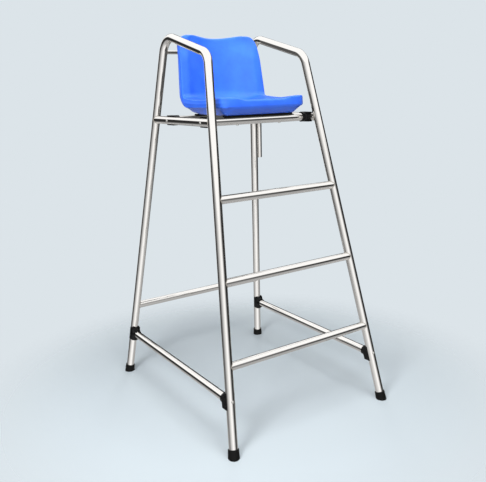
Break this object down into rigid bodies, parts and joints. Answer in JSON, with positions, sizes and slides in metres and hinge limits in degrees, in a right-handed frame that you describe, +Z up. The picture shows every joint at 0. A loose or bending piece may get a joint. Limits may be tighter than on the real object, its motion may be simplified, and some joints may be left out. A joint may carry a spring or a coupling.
{
  "type": "lifeguard chair",
  "caption": "Tall open lifeguard chair: leaning bent-tube side frames, ladder rungs at the front, a railed platform with armrests and a moulded bucket seat.",
  "frame": {"origin": "on the ground, under the middle of the chair's footprint", "axes": "+Z up, -Y the front where the rungs are climbed, +X the sitter's left"},
  "size_m": [0.9482, 1.138, 1.8092],
  "materials": {
    "tube_steel": "polished stainless tube",
    "seat_plastic": "semi-gloss moulded plastic",
    "connector": "satin moulded nylon",
    "foot_rubber": "matt moulded rubber",
    "strip_rubber": "matt rubber strip"
  },
  "bodies": {
    "root": {"front_leg_left": "tube_steel", "front_leg_right": "tube_steel", "armrest_left": "tube_steel", "armrest_right": "tube_steel", "rear_leg_left": "tube_steel", "rear_leg_right": "tube_steel", "rung_lower": "tube_steel", "rung_middle": "tube_steel", "rung_upper": "tube_steel", "rear_crossbar": "tube_steel", "back_tube": "tube_steel", "seat_rail_left": "tube_steel", "seat_rail_right": "tube_steel", "cross_rail_front": "tube_steel", "cross_rail_rear": "tube_steel", "stretcher_left": "tube_steel", "stretcher_right": "tube_steel", "saddle_cross_front_left": "connector", "saddle_cross_front_right": "connector", "saddle_cross_rear_left": "connector", "saddle_cross_rear_right": "connector", "saddle_stretcher_front_left": "connector", "saddle_stretcher_front_right": "connector", "saddle_stretcher_rear_left": "connector", "saddle_stretcher_rear_right": "connector", "foot_front_left": "foot_rubber", "foot_front_right": "foot_rubber", "foot_rear_left": "foot_rubber", "foot_rear_right": "foot_rubber", "bucket_seat": "seat_plastic", "seat_strip_front": "strip_rubber", "seat_strip_rear": "strip_rubber", "pole_holder": "tube_steel"}
  },
  "joints": []
}
